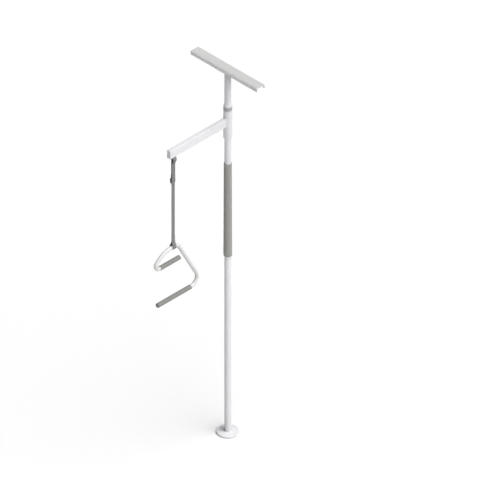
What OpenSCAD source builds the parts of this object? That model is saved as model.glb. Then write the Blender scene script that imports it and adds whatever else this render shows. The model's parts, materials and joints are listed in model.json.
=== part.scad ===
// Floor-to-ceiling transfer pole with a swivelling arm and a hanging trapeze handle.
// The pole is jammed between floor and ceiling by a jack screw inside its ceiling channel.
// Millimetres, +Z up. The origin is on the pole's axis at the floor, the arm reaches along -Y,
// and the ceiling channel runs along X.

/* [Pole] */
// Height of the ceiling above the floor, with the jack wound in
ceiling_h = 2438; // [2420:1:2640]
// Outer diameter of both pole tubes
pole_d = 38.1; // [37:0.1:39]
// Wall of both pole tubes
pole_wall = 2.4; // [2:0.1:3]
// Height at which the lower tube meets the upper tube
split_z = 1500; // [1350:1:1650]
// Length of the joining sleeve inside the tubes
joiner_len = 200; // [160:1:260]

/* [Floor plate] */
// Diameter of the floor plate
base_d = 127; // [120:1:150]
// Thickness of the floor plate
base_t = 8; // [6:0.5:10]
// Thickness of the rubber pad under the plate
pad_t = 3; // [2:0.5:5]
// Diameter of the circle of floor screw holes
floor_pcd = 104; // [90:1:108]
// Diameter of each floor screw hole
floor_hole_d = 6.5; // [5:0.1:7]

/* [Ceiling head] */
// Length of the ceiling channel
channel_len = 513; // [400:1:600]
// Width of the ceiling channel
channel_w = 61; // [50:1:70]
// Height of the channel and its pad together
channel_h = 25; // [22:1:40]
// Wall of the ceiling channel
channel_wall = 3; // [2:0.5:4]
// Thickness of the pad that meets the ceiling
ceiling_pad_t = 1.5; // [1:0.5:3]
// Distance between the two ceiling screw holes
ceiling_hole_gap = 440; // [300:1:460]
// Diameter of each ceiling screw hole
ceiling_hole_d = 6; // [4:0.5:8]

/* [Jack] */
// Diameter of the jack screw
screw_d = 16; // [14:0.5:18]
// How far the jack lifts the ceiling head
jack_travel = 70; // [40:1:90]

/* [Foam grip on the pole] */
// Height of the foam grip's lower end
foam_z0 = 1185; // [1000:1:1250]
// Height of the foam grip's upper end
foam_z1 = 1802; // [1700:1:1900]
// Diameter of the foam grip at its lower end
foam_d0 = 48.5; // [44:0.5:52]
// Diameter of the foam grip at its upper end
foam_d1 = 44.5; // [42:0.5:50]

/* [Arm] */
// Reach of the arm from the pole's axis
arm_reach = 457; // [440:1:500]
// Height of the arm's centre line
arm_z = 2082.3; // [2040:0.1:2090]
// Width of the arm tube
arm_w = 25.4; // [25:0.1:27]
// Height of the arm tube
arm_h = 54; // [50:0.1:58]
// Wall of the arm tube
arm_wall = 2; // [1.8:0.1:2]
// Outer diameter of the swivel sleeve
sleeve_d = 49.5; // [49:0.1:52]
// Height of the swivel sleeve's lower end
sleeve_z0 = 1972; // [1950:1:1990]
// Height of the swivel sleeve's upper end
sleeve_z1 = 2158; // [2140:1:2170]
// Height of the grey bearing flange above the sleeve
flange_h = 25.4; // [15:0.1:30]

/* [Strap] */
// Width of the webbing
strap_w = 25.4; // [24:0.1:26]
// Thickness of the webbing
strap_t = 2; // [1.8:0.1:2]
// Distance from the pole's axis to the strap's middle
strap_reach = 422.5; // [420:0.5:424]
// Height of the buckle's middle
buckle_z = 1896; // [1880:1:1920]
// Length of webbing stored above the buckle, which the handle can be raised by
spare_len = 90; // [40:1:100]

/* [Handle] */
// Outer diameter of the handle tube
handle_d = 22.2; // [20:0.1:23]
// Wall of the handle tube
handle_wall = 1.6; // [1.2:0.1:2]
// Outer diameter of both handle grips
grip_d = 27; // [26:0.5:30]
// Height of the handle tube's axis where the strap holds it
hang_z = 1450; // [1445:1:1455]
// Height of the upper grip's axis
upper_grip_z = 1356.8; // [1352:0.1:1360]
// Height of the lower grip's axis
lower_grip_z = 1116.6; // [1100:0.1:1125]
// Length of the upper grip
upper_grip_len = 150; // [120:1:155]
// Length of the lower grip
lower_grip_len = 255; // [200:1:265]

/* [Hidden] */

$fn = 48;
// Overshoot that lets a cut run clean through a face
eps = 1;
// Gap between pieces that move past each other
gap = 0.3;
// Radial clearance of a turning fit
fit = 0.06;

// Pole
pole_r = pole_d / 2;
bore_r = pole_r - pole_wall;
tube_z0 = pad_t + base_t;
spigot_h = 60;
base_chamfer = 3;
screw_r = 3;
joiner_screw_z = joiner_len / 2 - 40;

// Ceiling head, from the ceiling down
channel_z1 = ceiling_h - ceiling_pad_t;
channel_z0 = ceiling_h - channel_h;
web_z = channel_z1 - channel_wall;
fold_r = channel_wall + 1;
cup_h = 7;
cup_r = 16;
cup_z0 = web_z - cup_h;
jack_r = screw_d / 2;
washer_t = 1.2;
hex_z1 = cup_z0 - gap - washer_t;
hex_h = 9;
hex_z0 = hex_z1 - hex_h;
hex_af = 24;
nut_flange_t = 3;
nut_z = hex_z0 - gap;
tube_z1 = nut_z - nut_flange_t;
nut_len = 40;
shank_len = jack_travel + nut_len + nut_flange_t + 10;

// Swivel, from the bushings inwards
sleeve_r = sleeve_d / 2;
sleeve_bore = sleeve_r - 2.75;
bushing_r = pole_r + fit;
lower_bushing_h = 38;
support_z = 2050;
support_h = 12;
thrust_t = 3;
thrust_z1 = support_z + support_h + thrust_t;
pin_r = 4;
flange_z1 = sleeve_z1 + flange_h;
collar_h = 13;

// Arm
corner_r = 3;
cap_t = 3;
cap_plug_len = 9;
beam_y = arm_reach - cap_t;
beam_floor = arm_z - arm_h / 2;
beam_roof = arm_z + arm_h / 2 - arm_wall;
beam_inner = arm_w / 2 - arm_wall;
slot_len = 42;

// Strap hanger inside the arm
strap_y0 = -strap_reach - strap_w / 2;
bracket_t = 3;
bracket_len = 41;
bracket_drop = 10;
bracket_half = beam_inner - (corner_r - arm_wall) - gap;
roller_r = beam_inner - strap_t - 1.1;
crown_r = roller_r - 0.3;
crown_half = 2;
roller_end_r = 4.9;
ply_r = roller_r + gap;
roller_len = strap_w + 4;
pin_len = bracket_len + 6;
clip_t = 1.2;

// Strap
swing_z = beam_floor - 8.5;
ply_x = strap_t + gap;
anchor_z0 = swing_z + 3;
sling_z1 = swing_z - 3;
drop_z1 = sling_z1 - 12 - spare_len;
loop_slack = 3.2;
loop_r = handle_d / 2 + gap + loop_slack;
loop_z = hang_z + loop_slack;
eye_h = 38;

// Buckle, measured from the strap's middle plane towards -X
buckle_h = 31;
cheek_t = 1.5;
cheek_y = strap_w / 2 + 0.4;
buckle_z0 = buckle_z - buckle_h / 2;
buckle_z1 = buckle_z + buckle_h / 2;
buckle_back = 10;
buckle_front = 3.3;
bar_r = 2;
bar_x = -ply_x - strap_t / 2 - bar_r - 0.1;
bar_z = buckle_z1 - 6;
cam_x = -6.8;
cam_z = buckle_z - 4;
cam_pin_r = 1.75;
cam_r = 4.6;
cam_off = 0.8;
cam_len = strap_w - 1.4;
spring_r = 2.4;
spring_wire_r = 0.35;
pocket_r = 3;
pocket_half = 3.4;

// Centre line of the handle tube in the Y-Z plane, corner by corner from the upper grip's end
handle_path = [
    [-374.5, upper_grip_z],
    [-556, upper_grip_z],
    [-556, upper_grip_z + 39],
    [-487, hang_z],
    [-388, hang_z],
    [-204, lower_grip_z],
    [-545, lower_grip_z]
];
// Bend radius at each corner between the two ends
handle_bends = [25, 20, 130, 35, 50];
handle_r = handle_d / 2;
handle_bore = handle_r - handle_wall;
plug_head_t = 1.2;
grip_edge = 2;
bend_lap = 0.5;
bend_swell = 0.1;

// Colours
powder_white = "#e6e6e8";
zinc = "#b9bcc0";
foam_grey = "#7d7e78";
nylon_grey = "#8a8a8c";
nylon_white = "#cfcfd1";
rubber_dark = "#2c2c2d";
rubber_light = "#c9c9c6";
webbing_grey = "#85868a";
buckle_black = "#232325";
bronze = "#b08d57";

// ---------------------------------------------------------------- shared shapes

// Ring round the pole's axis
module ring(r_out, r_in, z0, z1) {
    translate([0, 0, z0]) difference() {
        cylinder(h = z1 - z0, r = r_out);
        translate([0, 0, -eps]) cylinder(h = z1 - z0 + 2 * eps, r = r_in);
    }
}

// Rectangle with true round corners, centred
module rounded_rect(w, h, r) {
    square([w - 2 * r, h], center = true);
    square([w, h - 2 * r], center = true);
    for (sx = [-1, 1], sy = [-1, 1])
        translate([sx * (w / 2 - r), sy * (h / 2 - r)]) circle(r = r);
}

// Rod along Y from y0 to y1, at x and z
module rod_y(x, z, y0, y1, r) {
    translate([x, y1, z]) rotate([90, 0, 0]) cylinder(h = y1 - y0, r = r);
}

// Outline in the X-Z plane, pushed along Y from y0 to y1
module slab_y(y0, y1) {
    translate([0, y1, 0]) rotate([90, 0, 0]) linear_extrude(height = y1 - y0) children();
}

// Direction of v with length 1
function unit(v) = v / norm(v);

// v turned a quarter turn anticlockwise
function left_of(v) = [-v.y, v.x];

// Direction of a path at its point i
function heading(path, i) = unit(path[min(i + 1, len(path) - 1)] - path[max(i - 1, 0)]);

// Ribbon of thickness t along a path
module ribbon(path, t) {
    left = [for (i = [0:len(path) - 1]) path[i] + left_of(heading(path, i)) * t / 2];
    right = [for (i = [len(path) - 1:-1:0]) path[i] - left_of(heading(path, i)) * t / 2];
    polygon(concat(left, right));
}

// Length of leg that a bend of radius r uses up at corner b, between a and c
function bend_reach(a, b, c, r) = r / tan(acos(unit(a - b) * unit(c - b)) / 2);

// Rod of radius r along a path in the Y-Z plane, with a round bend at each corner.
// The bends are a hair thicker than the legs, which run a little way into them.
module bent_rod(path, bends, r) {
    last = len(path) - 1;
    reach = [for (i = [0:last])
        (i == 0 || i == last) ? bend_lap : bend_reach(path[i - 1], path[i], path[i + 1], bends[i - 1])];
    rotate([90, 0, 90]) {
        for (i = [0:last - 1]) {
            leg = path[i + 1] - path[i];
            start = path[i] + unit(leg) * (reach[i] - bend_lap);
            translate([start.x, start.y, 0])
                rotate([0, 90, atan2(leg.y, leg.x)])
                    cylinder(h = norm(leg) - reach[i] - reach[i + 1] + 2 * bend_lap, r = r);
        }
        for (i = [1:last - 1]) {
            back = unit(path[i - 1] - path[i]);
            ahead = unit(path[i + 1] - path[i]);
            half = acos(back * ahead) / 2;
            centre = path[i] + unit(back + ahead) * bends[i - 1] / sin(half);
            first = path[i] + back * reach[i] - centre;
            second = path[i] + ahead * reach[i] - centre;
            start = cross(first, second) > 0 ? first : second;
            translate([centre.x, centre.y, 0])
                rotate([0, 0, atan2(start.y, start.x)])
                    rotate_extrude(angle = 180 - 2 * half)
                        translate([bends[i - 1], 0]) circle(r = r + bend_swell);
        }
    }
}

// Foam sleeve with softened ends, from height 0 to len, tapering from r0 to r1
module foam_sleeve(len, r0, r1, r_in, edge) {
    rotate_extrude() polygon([
        [r_in, 0], [r0 - edge, 0], [r0 - edge * 0.3, edge * 0.3], [r0, edge],
        [r1, len - edge], [r1 - edge * 0.3, len - edge * 0.3], [r1 - edge, len], [r_in, len]
    ]);
}

// Copies a shape to each floor screw hole
module at_floor_holes() {
    for (a = [0:90:270]) rotate([0, 0, a]) translate([floor_pcd / 2, 0, 0]) children();
}

// ---------------------------------------------------------------- pole

module base_pad() {
    color(rubber_dark) difference() {
        cylinder(h = pad_t, d = base_d - 3);
        at_floor_holes() translate([0, 0, -eps]) cylinder(h = pad_t + 2 * eps, d = floor_hole_d + 2);
    }
}

module base_plate() {
    color(powder_white) difference() {
        translate([0, 0, pad_t]) rotate_extrude() polygon([
            [0, 0], [base_d / 2, 0], [base_d / 2, base_t - base_chamfer],
            [base_d / 2 - base_chamfer * 0.3, base_t - base_chamfer * 0.3],
            [base_d / 2 - base_chamfer, base_t], [0, base_t]
        ]);
        at_floor_holes() cylinder(h = tube_z0 + eps, d = floor_hole_d);
    }
}

// Plug welded to the plate, which the lower tube stands over
module base_spigot() {
    color(zinc) translate([0, 0, tube_z0]) cylinder(h = spigot_h, r = bore_r);
}

module joiner_holes() {
    for (side = [-1, 1])
        translate([0, 0, split_z + side * joiner_screw_z]) rotate([0, 90, 0])
            cylinder(h = 3 * pole_r, r = screw_r, center = true);
}

module lower_tube() {
    color(powder_white) difference() {
        ring(pole_r, bore_r, tube_z0, split_z);
        joiner_holes();
    }
}

module upper_tube() {
    color(powder_white) difference() {
        ring(pole_r, bore_r, split_z, tube_z1);
        joiner_holes();
        support_pin_hole();
    }
}

// Sleeve inside both tubes where they meet
module pole_joiner() {
    color(zinc) difference() {
        ring(bore_r, bore_r - 3, split_z - joiner_len / 2, split_z + joiner_len / 2);
        joiner_holes();
    }
}

// Four flush screws, two to a tube, under the foam grip
module joiner_screws() {
    color(zinc)
        for (side = [-1, 1], turn = [0, 180])
            translate([0, 0, split_z + side * joiner_screw_z]) rotate([0, 90, turn])
                translate([0, 0, bore_r - 3]) cylinder(h = pole_wall + 2.8, r = screw_r);
}

module foam_grip() {
    color(foam_grey) translate([0, 0, foam_z0])
        foam_sleeve(foam_z1 - foam_z0, foam_d0 / 2, foam_d1 / 2, pole_r, 2);
}

module support_pin_hole() {
    translate([0, 0, support_z + support_h / 2]) rotate([0, 90, 0])
        cylinder(h = 3 * pole_r, r = pin_r, center = true);
}

// Steel ring on the pole, inside the sleeve, that carries the arm
module support_ring() {
    color(zinc) difference() {
        ring(sleeve_bore - 2 * gap, pole_r, support_z, support_z + support_h);
        support_pin_hole();
    }
}

// Dowel through the pole that holds the ring up
module support_pin() {
    color(zinc) translate([0, 0, support_z + support_h / 2]) rotate([0, 90, 0])
        cylinder(h = 2 * (sleeve_bore - 3 * gap), r = pin_r, center = true);
}

module thrust_washer() {
    color(bronze) ring(sleeve_bore - 2 * gap, pole_r, thrust_z1 - thrust_t, thrust_z1);
}

// Coned collar above the arm, which keeps it from lifting
module stop_collar() {
    color(powder_white) translate([0, 0, flange_z1 + gap]) rotate_extrude() polygon([
        [pole_r, 0], [sleeve_r - 0.4, 0], [sleeve_r - 0.2, 2],
        [pole_r + 1, collar_h - 1], [pole_r, collar_h]
    ]);
}

// Threaded plug in the top of the pole
module jack_nut() {
    color(zinc) difference() {
        union() {
            translate([0, 0, tube_z1]) cylinder(h = nut_flange_t, r = pole_r);
            translate([0, 0, tube_z1 - nut_len]) cylinder(h = nut_len, r = bore_r);
        }
        translate([0, 0, tube_z1 - nut_len - eps])
            cylinder(h = nut_len + nut_flange_t + 2 * eps, r = jack_r + fit);
    }
}

// ---------------------------------------------------------------- ceiling head

module at_ceiling_holes() {
    for (side = [-1, 1]) translate([side * ceiling_hole_gap / 2, 0, 0]) children();
}

// The channel's section, with both top edges folded round
module channel_section() {
    half = channel_w / 2;
    inside = half - channel_wall;
    difference() {
        union() {
            translate([-half, channel_z0]) square([channel_w, channel_z1 - fold_r - channel_z0]);
            translate([fold_r - half, channel_z0])
                square([channel_w - 2 * fold_r, channel_z1 - channel_z0]);
            for (side = [-1, 1])
                translate([side * (half - fold_r), channel_z1 - fold_r]) circle(r = fold_r);
        }
        translate([-inside, channel_z0 - eps]) square([2 * inside, web_z - channel_z0 + eps]);
    }
}

module ceiling_channel() {
    color(powder_white) difference() {
        rotate([90, 0, 90]) linear_extrude(height = channel_len, center = true) channel_section();
        at_ceiling_holes() translate([0, 0, web_z - eps])
            cylinder(h = channel_wall + 2 * eps, d = ceiling_hole_d);
    }
}

// Pad on the flat of the channel's top
module ceiling_pad() {
    pad_len = channel_len - 2;
    pad_w = channel_w - 2 * fold_r;
    color(rubber_light) difference() {
        translate([-pad_len / 2, -pad_w / 2, channel_z1]) cube([pad_len, pad_w, ceiling_pad_t]);
        at_ceiling_holes() translate([0, 0, channel_z1 - eps])
            cylinder(h = ceiling_pad_t + 2 * eps, d = ceiling_hole_d + 2);
    }
}

// Cup welded under the channel, in which the jack screw's nose turns
module socket_cup() {
    color(zinc) ring(cup_r, jack_r + fit, cup_z0, web_z);
}

module jack_washer() {
    color(bronze) ring(cup_r - 2, jack_r + fit, hex_z1 + gap / 2, cup_z0 - gap / 2);
}

// Jack screw: shank in the nut, hexagon for the wrench, nose in the cup
module jack_screw() {
    color(zinc) {
        translate([0, 0, hex_z0 - shank_len]) cylinder(h = shank_len, r = jack_r);
        translate([0, 0, hex_z0]) cylinder(h = hex_h, r = hex_af / sqrt(3), $fn = 6);
        translate([0, 0, hex_z1]) cylinder(h = web_z - gap - hex_z1, r = jack_r);
    }
}

// ---------------------------------------------------------------- arm

module arm_sleeve() {
    color(powder_white) ring(sleeve_r, sleeve_bore, sleeve_z0, sleeve_z1);
}

// Rectangular tube, coped round the sleeve, with a slot in its underside for the strap
module arm_beam() {
    color(powder_white) difference() {
        translate([0, 0, arm_z]) rotate([90, 0, 0]) linear_extrude(height = beam_y) difference() {
            rounded_rect(arm_w, arm_h, corner_r);
            rounded_rect(arm_w - 2 * arm_wall, arm_h - 2 * arm_wall, corner_r - arm_wall);
        }
        translate([0, 0, beam_floor - eps]) cylinder(h = arm_h + 2 * eps, r = sleeve_r);
        translate([-beam_inner, -strap_reach - slot_len / 2, beam_floor - eps])
            cube([2 * beam_inner, slot_len, arm_wall + 2 * eps]);
    }
}

module arm_end_cap() {
    plug_w = arm_w - 2 * arm_wall - 0.2;
    plug_h = arm_h - 2 * arm_wall - 0.2;
    color(nylon_white) translate([0, -beam_y, arm_z]) rotate([90, 0, 0]) {
        linear_extrude(height = cap_t) rounded_rect(arm_w, arm_h, corner_r);
        translate([0, 0, -cap_plug_len]) linear_extrude(height = cap_plug_len) difference() {
            rounded_rect(plug_w, plug_h, corner_r - arm_wall);
            square([plug_w - 4, plug_h - 4], center = true);
        }
    }
}

// Nylon bush in the sleeve's top, with the tall grey flange that shows above it
module upper_bushing() {
    color(nylon_grey) {
        ring(sleeve_r - 0.3, bushing_r, sleeve_z1, flange_z1);
        ring(sleeve_bore, bushing_r, thrust_z1 + gap, sleeve_z1);
    }
}

module lower_bushing() {
    color(nylon_grey) ring(sleeve_bore, bushing_r, sleeve_z0, sleeve_z0 + lower_bushing_h);
}

// Saddle under the arm's roof, with a leg at each end of the roller
module hanger_bracket() {
    y0 = -strap_reach - bracket_len / 2;
    y1 = -strap_reach + bracket_len / 2;
    leg_z0 = arm_z - bracket_drop;
    color(zinc) difference() {
        translate([-bracket_half, y0, leg_z0])
            cube([2 * bracket_half, bracket_len, beam_roof - leg_z0]);
        translate([-bracket_half - eps, y0 + bracket_t, leg_z0 - eps])
            cube([2 * (bracket_half + eps), bracket_len - 2 * bracket_t,
                  beam_roof - leg_z0 - bracket_t + eps]);
        rod_y(0, arm_z, y0 - eps, y1 + eps, pin_r);
    }
}

module hanger_pin() {
    color(zinc) rod_y(0, arm_z, -strap_reach - pin_len / 2, -strap_reach + pin_len / 2, pin_r);
}

// Two snap rings on the hanger pin, outside the bracket
module pin_clips() {
    color(zinc)
        for (side = [-1, 1])
            translate([0, -strap_reach + side * (bracket_len / 2 + clip_t / 2), arm_z])
                rotate([90, 0, 0]) difference() {
                    cylinder(h = clip_t, r = pin_r + 2, center = true);
                    cylinder(h = clip_t + 2 * eps, r = pin_r, center = true);
                }
}

// Double-cone roller, widest at its middle so that the strap can lean towards the pole or away
module hanger_roller() {
    half = roller_len / 2;
    color(nylon_white) translate([0, -strap_reach, arm_z]) rotate([90, 0, 0])
        rotate_extrude() polygon([
            [pin_r + fit, half], [pin_r + fit, -half], [roller_end_r, -half],
            [crown_r, -crown_half], [crown_r, crown_half], [roller_end_r, half]
        ]);
}

// ---------------------------------------------------------------- strap

// Loop over the roller, down to just below the arm
module strap_anchor() {
    x = ply_r + strap_t / 2;
    over = [for (a = [180:-15:0]) [x * cos(a), arm_z + x * sin(a)]];
    color(webbing_grey) slab_y(strap_y0, strap_y0 + strap_w) ribbon(concat(
        [[-x + 3, anchor_z0], [-x + 2, beam_floor + 1], [-x, beam_floor + 12]],
        over,
        [[x, beam_floor + 8], [x, beam_floor - 2.5], [x + 2.2, anchor_z0]]
    ), strap_t);
}

// Both plies from the arm to the buckle: the rear one turns round the buckle's bar,
// and the front one bows out as it leaves the arm
module strap_sling() {
    turn_r = bar_r + 0.1 + strap_t / 2;
    color(webbing_grey) slab_y(strap_y0, strap_y0 + strap_w) {
        ribbon(concat(
            [[-ply_x - 2.4, sling_z1], [-ply_x - 0.8, sling_z1 - 8], [-ply_x, sling_z1 - 18]],
            [for (a = [0:-20:-180]) [bar_x + turn_r * cos(a), bar_z + turn_r * sin(a)]],
            [[bar_x - turn_r, bar_z + 3], [-ply_x - strap_t, bar_z + 11], [-ply_x - strap_t, bar_z + 16]]
        ), strap_t);
        ribbon([
            [14.6, sling_z1], [15.2, sling_z1 - 6], [13.4, sling_z1 - 16], [9.6, sling_z1 - 25],
            [5.6, sling_z1 - 34], [ply_x + 1.3, sling_z1 - 45], [ply_x + 1.3, buckle_z0 - 1]
        ], strap_t);
    }
}

// Two cheeks beside the strap, a bar that the sling holds and a lip in front of the strap
module buckle_frame() {
    y_in = [-strap_reach - cheek_y, -strap_reach + cheek_y];
    color(buckle_black) {
        difference() {
            for (y = [y_in[0] - cheek_t, y_in[1]])
                slab_y(y, y + cheek_t) polygon([
                    [buckle_front, buckle_z0], [buckle_front, buckle_z1 - 7], [-1.5, buckle_z1],
                    [3 - buckle_back, buckle_z1], [-buckle_back, buckle_z1 - 4],
                    [-buckle_back, buckle_z0 + 7], [3 - buckle_back, buckle_z0]
                ]);
            rod_y(cam_x, cam_z, y_in[0] - 2 * cheek_t, y_in[1] + 2 * cheek_t, cam_pin_r);
        }
        rod_y(bar_x, bar_z, y_in[0], y_in[1], bar_r);
        slab_y(y_in[0], y_in[1]) polygon([
            [strap_t / 2 + gap, buckle_z0], [strap_t / 2 + gap + 1, buckle_z0],
            [strap_t / 2 + gap + 1, buckle_z0 + 12], [strap_t / 2 + gap, buckle_z0 + 12]
        ]);
    }
}

module cam_pin() {
    reach = cheek_y + cheek_t + 0.3;
    color(zinc) rod_y(cam_x, cam_z, -strap_reach - reach, -strap_reach + reach, cam_pin_r);
}

// Closed coils of the spring that holds the cam shut
module cam_spring() {
    color(zinc)
        for (k = [-2:2])
            translate([cam_x, -strap_reach + k * 1.1, cam_z]) rotate([90, 0, 0])
                rotate_extrude() translate([spring_r, 0]) circle(r = spring_wire_r);
}

// Eccentric cam with a thumb lever, and a pocket at its middle for the spring
module buckle_cam() {
    y0 = -strap_reach - cam_len / 2;
    color(buckle_black) difference() {
        union() {
            rod_y(cam_x + cam_off, cam_z, y0, y0 + cam_len, cam_r);
            slab_y(y0, y0 + cam_len) polygon([
                [cam_x + 1, cam_z - 4.2], [cam_x - 3.6, cam_z + 0.8], [cam_x - 4.6, cam_z - 3.5],
                [cam_x - 4.8, cam_z - 10], [cam_x - 3, cam_z - 10], [cam_x - 2.6, cam_z - 6]
            ]);
        }
        rod_y(cam_x, cam_z, y0 - eps, y0 + cam_len + eps, cam_pin_r + fit);
        rod_y(cam_x, cam_z, -strap_reach - pocket_half, -strap_reach + pocket_half, pocket_r);
    }
}

// Webbing from inside the buckle down to the slack loop that the handle tube lies in
module strap_drop() {
    turn_r = loop_r + strap_t / 2;
    eye_tip = eye_h - 1.5 * strap_t;
    color(webbing_grey) slab_y(strap_y0, strap_y0 + strap_w) {
        translate([0, loop_z]) difference() {
            union() {
                circle(r = loop_r + strap_t);
                polygon([
                    [-turn_r * 0.8, turn_r * 0.6], [turn_r * 0.8, turn_r * 0.6],
                    [strap_t / 2, eye_h], [-strap_t / 2, eye_h]
                ]);
            }
            circle(r = loop_r);
            polygon([[-turn_r * 0.68, turn_r * 0.55], [turn_r * 0.68, turn_r * 0.55], [0, eye_tip]]);
        }
        translate([-strap_t / 2, loop_z + eye_h - 1]) square([strap_t, drop_z1 - loop_z - eye_h + 1]);
    }
}

// ---------------------------------------------------------------- handle

// One bent tube: upper grip, top bar, sloping leg and lower grip
module handle_tube() {
    bore_path = concat(
        [handle_path[0] + [2 * eps, 0]],
        [for (i = [1:len(handle_path) - 2]) handle_path[i]],
        [handle_path[len(handle_path) - 1] - [2 * eps, 0]]
    );
    color(powder_white) difference() {
        bent_rod(handle_path, handle_bends, handle_r);
        bent_rod(bore_path, handle_bends, handle_bore);
    }
}

// Grip along Y whose free end is at y_end, running towards dir for len
module handle_grip(y_end, dir, z, len) {
    color(foam_grey) translate([0, y_end, z]) rotate([dir > 0 ? -90 : 90, 0, 0])
        foam_sleeve(len, grip_d / 2, grip_d / 2, handle_r, grip_edge);
}

module upper_grip() {
    handle_grip(handle_path[0].x, -1, upper_grip_z, upper_grip_len);
}

module lower_grip() {
    handle_grip(handle_path[len(handle_path) - 1].x, 1, lower_grip_z, lower_grip_len);
}

// Plug that closes a tube end at y_end, its head on the side that dir names
module tube_plug(y_end, dir, z) {
    color(rubber_dark) translate([0, y_end, z]) rotate([dir > 0 ? -90 : 90, 0, 0]) {
        rotate_extrude() polygon([
            [0, 0], [handle_r + 0.8, 0], [handle_r + 0.8, plug_head_t - 0.5],
            [handle_r + 0.2, plug_head_t], [0, plug_head_t]
        ]);
        translate([0, 0, -14]) cylinder(h = 14, r = handle_bore);
    }
}

module upper_plug() {
    tube_plug(handle_path[0].x, 1, upper_grip_z);
}

module lower_plug() {
    tube_plug(handle_path[len(handle_path) - 1].x, -1, lower_grip_z);
}

base_pad();
base_plate();
base_spigot();
lower_tube();
upper_tube();
pole_joiner();
joiner_screws();
foam_grip();
support_ring();
support_pin();
thrust_washer();
stop_collar();
jack_nut();
ceiling_channel();
ceiling_pad();
socket_cup();
jack_screw();
jack_washer();
arm_sleeve();
arm_beam();
arm_end_cap();
upper_bushing();
lower_bushing();
hanger_bracket();
hanger_pin();
pin_clips();
hanger_roller();
strap_anchor();
strap_sling();
buckle_frame();
cam_pin();
cam_spring();
buckle_cam();
strap_drop();
handle_tube();
upper_grip();
lower_grip();
upper_plug();
lower_plug();
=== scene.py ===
"""Looks of the floor-to-ceiling transfer pole: swivelling arm, webbing strap and trapeze handle."""

import json
import math

import bmesh
import bpy
from mathutils import Matrix, Vector, noise

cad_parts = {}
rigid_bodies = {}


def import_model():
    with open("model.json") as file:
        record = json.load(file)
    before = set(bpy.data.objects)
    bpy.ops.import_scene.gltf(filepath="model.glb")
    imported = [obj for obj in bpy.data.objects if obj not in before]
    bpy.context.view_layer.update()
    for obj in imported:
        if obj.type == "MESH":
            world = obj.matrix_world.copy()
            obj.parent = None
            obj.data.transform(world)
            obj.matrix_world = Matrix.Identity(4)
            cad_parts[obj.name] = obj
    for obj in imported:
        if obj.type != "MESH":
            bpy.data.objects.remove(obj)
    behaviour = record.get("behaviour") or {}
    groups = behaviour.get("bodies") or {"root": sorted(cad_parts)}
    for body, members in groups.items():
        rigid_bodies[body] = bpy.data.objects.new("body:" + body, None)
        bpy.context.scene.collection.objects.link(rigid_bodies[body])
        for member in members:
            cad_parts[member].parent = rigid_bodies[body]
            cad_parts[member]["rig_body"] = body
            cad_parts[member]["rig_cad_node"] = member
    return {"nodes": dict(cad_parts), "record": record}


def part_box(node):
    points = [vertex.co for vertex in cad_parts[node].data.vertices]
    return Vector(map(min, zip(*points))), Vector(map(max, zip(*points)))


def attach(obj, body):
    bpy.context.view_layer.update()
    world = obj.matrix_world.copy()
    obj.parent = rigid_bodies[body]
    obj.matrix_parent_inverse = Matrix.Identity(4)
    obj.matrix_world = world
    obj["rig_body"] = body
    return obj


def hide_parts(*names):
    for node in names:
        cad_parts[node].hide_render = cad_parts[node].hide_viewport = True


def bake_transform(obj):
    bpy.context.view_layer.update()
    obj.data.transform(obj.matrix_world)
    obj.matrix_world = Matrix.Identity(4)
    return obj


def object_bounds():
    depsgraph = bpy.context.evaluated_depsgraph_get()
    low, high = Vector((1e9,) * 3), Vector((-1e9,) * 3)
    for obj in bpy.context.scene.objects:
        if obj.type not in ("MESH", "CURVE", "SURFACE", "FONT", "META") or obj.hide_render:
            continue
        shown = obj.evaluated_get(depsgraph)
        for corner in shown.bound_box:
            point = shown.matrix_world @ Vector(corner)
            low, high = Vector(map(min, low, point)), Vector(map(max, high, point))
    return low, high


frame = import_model()
cad_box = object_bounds()

MM = 0.001
X_AXIS = Vector((1, 0, 0))
Y_AXIS = Vector((0, 1, 0))
Z_AXIS = Vector((0, 0, 1))


# ---------------------------------------------------------------- camera, floor and light

def link(name, data):
    obj = bpy.data.objects.new(name, data)
    bpy.context.scene.collection.objects.link(obj)
    return obj


def add_camera():
    """Isometric camera: 45 degrees round, 35.26 degrees up, with parallel rays."""
    data = bpy.data.cameras.new("camera")
    data.type = "ORTHO"
    data.ortho_scale = 2.6215
    data.clip_start = 0.05
    data.clip_end = 200
    camera = link("camera", data)
    back = Vector((1, -1, 1)).normalized()
    aim = Vector((0.0471, 0.0471, 1.2843))
    camera.rotation_mode = "QUATERNION"
    camera.rotation_quaternion = (-back).to_track_quat("-Z", "Y")
    camera.location = aim + back * 8
    bpy.context.scene.camera = camera


def add_light():
    """A very broad key light from above and the right, under a dim even sky."""
    scene = bpy.context.scene
    scene.view_settings.view_transform = "Standard"
    scene.view_settings.look = "None"
    world = bpy.data.worlds.new("world")
    scene.world = world
    world.use_nodes = True
    background = world.node_tree.nodes["Background"]
    background.inputs["Color"].default_value = (0.985, 0.99, 1.0, 1)
    background.inputs["Strength"].default_value = 0.03
    data = bpy.data.lights.new("key_light", "SUN")
    data.energy = 4.65
    data.angle = math.radians(60)
    key = link("key_light", data)
    towards_key = Vector((0.74, 0.06, 1.20))
    key.rotation_mode = "QUATERNION"
    key.rotation_quaternion = towards_key.to_track_quat("Z", "Y")


def plain_material(name, colour, glow):
    """Floor or backdrop: a matt surface that gives off a little light of its own."""
    mat = bpy.data.materials.new(name)
    mat.use_nodes = True
    shader = mat.node_tree.nodes["Principled BSDF"]
    shader.inputs["Base Color"].default_value = (*colour, 1)
    shader.inputs["Roughness"].default_value = 1
    shader.inputs["Specular IOR Level"].default_value = 0
    shader.inputs["Emission Color"].default_value = (1, 1, 1, 1)
    shader.inputs["Emission Strength"].default_value = glow
    return mat


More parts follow.
